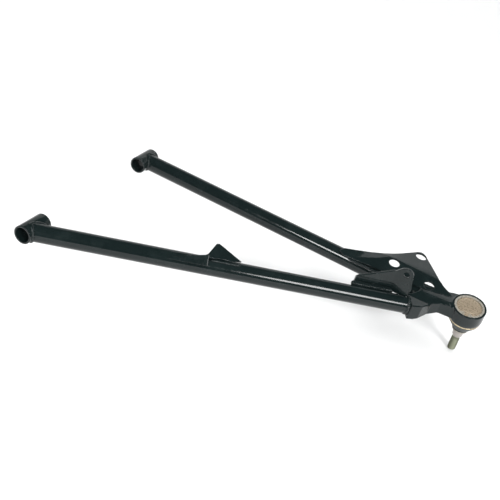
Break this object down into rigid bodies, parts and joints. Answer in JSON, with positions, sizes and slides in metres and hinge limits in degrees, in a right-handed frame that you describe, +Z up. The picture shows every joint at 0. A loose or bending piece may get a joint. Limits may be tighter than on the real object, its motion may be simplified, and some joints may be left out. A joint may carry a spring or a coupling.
{
  "type": "suspension control arm",
  "caption": "Tubular A-shaped suspension control arm with pivot tubes, guard plate, link bracket and a pressed-in ball joint with a tapered stud.",
  "frame": {"origin": "centre of the front pivot tube's bore, half way along its length", "axes": "+X outboard towards the ball joint, +Y along the pivot axis towards the rear, +Z up, square to the plane of the two tubes"},
  "size_m": [0.5859, 0.3776, 0.1264],
  "materials": {
    "black_paint": "gloss black enamel",
    "black_weld": "gloss black over rippled weld bead",
    "zinc_body": "turned steel",
    "cap_zinc": "yellow zinc, turned",
    "spring_steel": "zinc plated spring steel",
    "stud_steel": "ground steel",
    "brass_ring": "yellow zinc",
    "boot_rubber": "matt black rubber",
    "seat_plastic": "natural acetal"
  },
  "bodies": {
    "arm": {"front_pivot_tube": "black_paint", "rear_pivot_tube": "black_paint", "front_tube": "black_paint", "rear_tube": "black_paint", "knuckle": "black_paint", "guard_plate": "black_paint", "link_bracket": "black_paint", "front_tab": "black_paint", "front_pivot_weld": "black_weld", "rear_pivot_weld": "black_weld", "front_knuckle_weld": "black_weld", "rear_knuckle_weld": "black_weld", "guard_plate_weld": "black_weld", "link_bracket_weld": "black_weld", "front_tab_weld": "black_weld", "joint_body": "zinc_body", "joint_cap": "cap_zinc", "snap_ring": "spring_steel", "preload_spring": "spring_steel", "socket_seat": "seat_plastic", "dust_boot": "boot_rubber", "boot_upper_ring": "brass_ring"},
    "seat": {"pressure_seat": "seat_plastic"},
    "collar": {"boot_lower_ring": "spring_steel"},
    "stud": {"ball_stud": "stud_steel"}
  },
  "joints": [
    {"name": "joint_swivel", "type": "hinge", "parent": "arm", "child": "seat", "pos_m": [0.54819, 0.27976, 0.00292], "axis": [-0.0698, -0.2147, 0.9742], "continuous": true},
    {"name": "joint_tilt", "type": "hinge", "parent": "seat", "child": "collar", "pos_m": [0.54819, 0.27976, 0.00292], "axis": [0.9974, 0, 0.0715], "range_deg": [-25, 25], "deforming": ["dust_boot"]},
    {"name": "stud_turn", "type": "hinge", "parent": "collar", "child": "stud", "pos_m": [0.54819, 0.27976, 0.00292], "axis": [-0.0698, -0.2147, 0.9742], "continuous": true}
  ]
}
